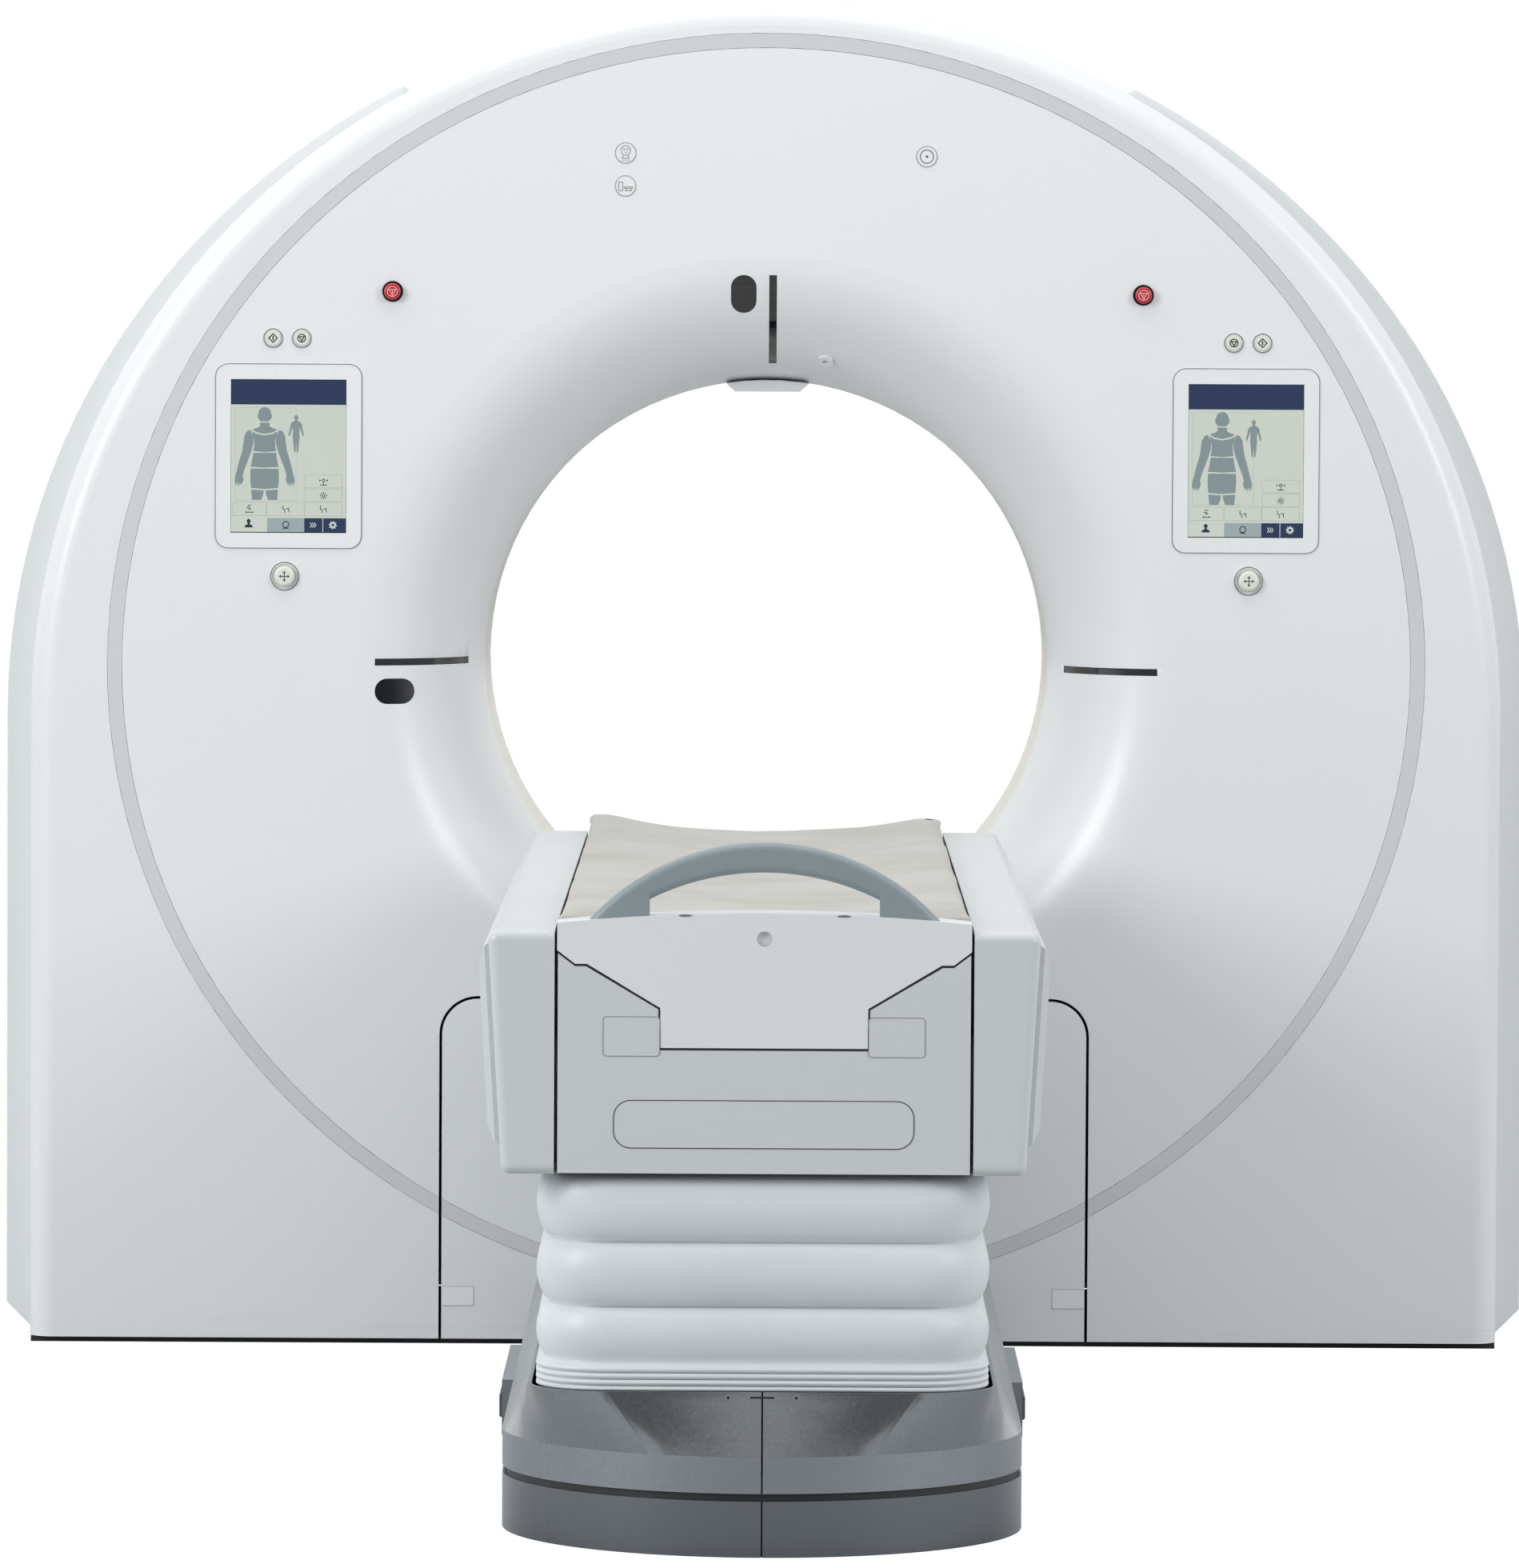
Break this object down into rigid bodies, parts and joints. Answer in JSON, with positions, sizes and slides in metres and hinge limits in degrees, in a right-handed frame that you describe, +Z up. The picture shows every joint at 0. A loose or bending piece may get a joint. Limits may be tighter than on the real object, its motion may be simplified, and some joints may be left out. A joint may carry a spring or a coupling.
{
  "type": "ct scanner",
  "caption": "Walk-up medical CT scanner: ring-shaped gantry with a wide flared bore and spinning rotor, and a patient couch that lifts and slides into the bore.",
  "frame": {"origin": "on the floor below the isocentre, the centre of the bore", "axes": "+Y along the bore away from the couch, +Z up, +X to the right seen from the couch's end"},
  "size_m": [2.136, 3.102, 1.886],
  "materials": {
    "cover_white": "gloss paint on moulded covers",
    "couch_white": "satin moulded covers",
    "accent_silver": "satin silver trim",
    "base_silver": "fine metallic silver paint",
    "handle_grey": "smooth blue-grey plastic",
    "mattress_vinyl": "soft wrinkled vinyl",
    "bellows_fabric": "coated folded fabric",
    "scan_window": "cream film",
    "dark_window": "dark polished window",
    "display_frame": "gloss white",
    "display_screen": "glass-fronted panel",
    "lens_clear": "pale indicator lens",
    "ring_black": "black plastic",
    "estop_red": "red plastic",
    "button_grey": "pale key",
    "joystick_grey": "grey key",
    "frame_steel": "black powder coat",
    "machined_steel": "turned and ground",
    "cast_frame": "painted casting",
    "aluminium": "machined",
    "unit_grey": "grey enclosure",
    "belt_rubber": "toothed belt rubber",
    "carbon": "carbon-fibre skin on foam",
    "slip_brass": "ring tracks",
    "filter_grey": "air filter"
  },
  "bodies": {
    "gantry": {"gantry_base_frame": "frame_steel", "stator_frame": "cast_frame", "bearing_outer_race": "machined_steel", "brush_block": "unit_grey", "drive_motor": "unit_grey", "drive_belt": "belt_rubber", "front_cover": "cover_white", "front_face_cover": "cover_white", "accent_ring": "accent_silver", "dock_cover": "cover_white", "side_cover_left": "cover_white", "side_cover_right": "cover_white", "vent_panels": "filter_grey", "top_cover": "cover_white", "rear_cover": "cover_white", "scan_window": "scan_window", "optical_windows": "dark_window", "microphone_boss": "cover_white", "bore_camera_pod": "cover_white", "display_bezels": "display_frame", "display_screens": "display_screen", "indicator_lenses": "lens_clear", "control_rings": "ring_black", "couch_base_frame": "frame_steel", "base_skirts": "base_silver", "base_cover_left": "base_silver", "base_cover_right": "base_silver", "lift_outer_columns": "machined_steel", "pedal_housings": "frame_steel"},
    "rotor": {"rotor_drum": "aluminium", "bearing_inner_race": "machined_steel", "xray_tube_housing": "unit_grey", "collimator": "machined_steel", "detector_arc": "unit_grey", "high_voltage_generator": "unit_grey", "heat_exchanger": "aluminium", "slip_ring": "slip_brass"},
    "motor_pulley": {"motor_pulley": "aluminium"},
    "lift_stage": {"lift_middle_columns": "machined_steel"},
    "couch": {"couch_frame": "frame_steel", "couch_side_cover_left": "couch_white", "couch_side_cover_right": "couch_white", "side_trims": "couch_white", "couch_end_cover": "couch_white", "end_hatches": "couch_white", "bellows": "bellows_fabric"},
    "tabletop": {"cradle": "carbon", "mattress": "mattress_vinyl", "end_cap": "couch_white", "grab_handle": "handle_grey"},
    "estop_left": {"estop_left": "estop_red"},
    "start_button_left": {"start_button_left": "button_grey"},
    "stop_button_left": {"stop_button_left": "button_grey"},
    "joystick_left": {"joystick_left": "joystick_grey"},
    "foot_pedal_left": {"foot_pedal_left": "joystick_grey"},
    "estop_right": {"estop_right": "estop_red"},
    "start_button_right": {"start_button_right": "button_grey"},
    "stop_button_right": {"stop_button_right": "button_grey"},
    "joystick_right": {"joystick_right": "joystick_grey"},
    "foot_pedal_right": {"foot_pedal_right": "joystick_grey"}
  },
  "joints": [
    {"name": "rotor_spin", "type": "hinge", "parent": "gantry", "child": "rotor", "pos_m": [0, 0, 0.955], "axis": [0, 1, 0], "continuous": true},
    {"name": "pulley_spin", "type": "hinge", "parent": "gantry", "child": "motor_pulley", "pos_m": [0.88, 0.045, 0.235], "axis": [0, 1, 0], "continuous": true},
    {"name": "couch_lift", "type": "slide", "parent": "gantry", "child": "couch", "axis": [0, 0, 1], "range_m": [-0.16, 0.21], "deforming": ["bellows"]},
    {"name": "lift_stage_rise", "type": "slide", "parent": "gantry", "child": "lift_stage", "axis": [0, 0, 1], "range_m": [-0.08, 0.105]},
    {"name": "tabletop_slide", "type": "slide", "parent": "couch", "child": "tabletop", "axis": [0, 1, 0], "range_m": [0, 1.7]},
    {"name": "estop_left_press", "type": "slide", "parent": "gantry", "child": "estop_left", "axis": [0, 1, 0], "range_m": [0, 0.005]},
    {"name": "start_button_left_press", "type": "slide", "parent": "gantry", "child": "start_button_left", "axis": [0, 1, 0], "range_m": [0, 0.0015], "stiffness_N_per_m": 800},
    {"name": "stop_button_left_press", "type": "slide", "parent": "gantry", "child": "stop_button_left", "axis": [0, 1, 0], "range_m": [0, 0.0015], "stiffness_N_per_m": 800},
    {"name": "joystick_left_tilt", "type": "hinge", "parent": "gantry", "child": "joystick_left", "pos_m": [-0.675, -0.345, 1.079], "axis": [1, 0, 0], "range_deg": [-6, 6], "stiffness_Nm_per_rad": 1.5},
    {"name": "foot_pedal_left_rock", "type": "hinge", "parent": "gantry", "child": "foot_pedal_left", "pos_m": [-0.32, -1.51, 0.065], "axis": [1, 0, 0], "range_deg": [-2.5, 2.5], "stiffness_Nm_per_rad": 60},
    {"name": "estop_right_press", "type": "slide", "parent": "gantry", "child": "estop_right", "axis": [0, 1, 0], "range_m": [0, 0.005]},
    {"name": "start_button_right_press", "type": "slide", "parent": "gantry", "child": "start_button_right", "axis": [0, 1, 0], "range_m": [0, 0.0015], "stiffness_N_per_m": 800},
    {"name": "stop_button_right_press", "type": "slide", "parent": "gantry", "child": "stop_button_right", "axis": [0, 1, 0], "range_m": [0, 0.0015], "stiffness_N_per_m": 800},
    {"name": "joystick_right_tilt", "type": "hinge", "parent": "gantry", "child": "joystick_right", "pos_m": [0.675, -0.345, 1.079], "axis": [1, 0, 0], "range_deg": [-6, 6], "stiffness_Nm_per_rad": 1.5},
    {"name": "foot_pedal_right_rock", "type": "hinge", "parent": "gantry", "child": "foot_pedal_right", "pos_m": [0.32, -1.51, 0.065], "axis": [1, 0, 0], "range_deg": [-2.5, 2.5], "stiffness_Nm_per_rad": 60}
  ],
  "couplings": [
    {"joint": "pulley_spin", "follows": "rotor_spin", "ratio": 13.083},
    {"joint": "lift_stage_rise", "follows": "couch_lift", "ratio": 0.5}
  ]
}
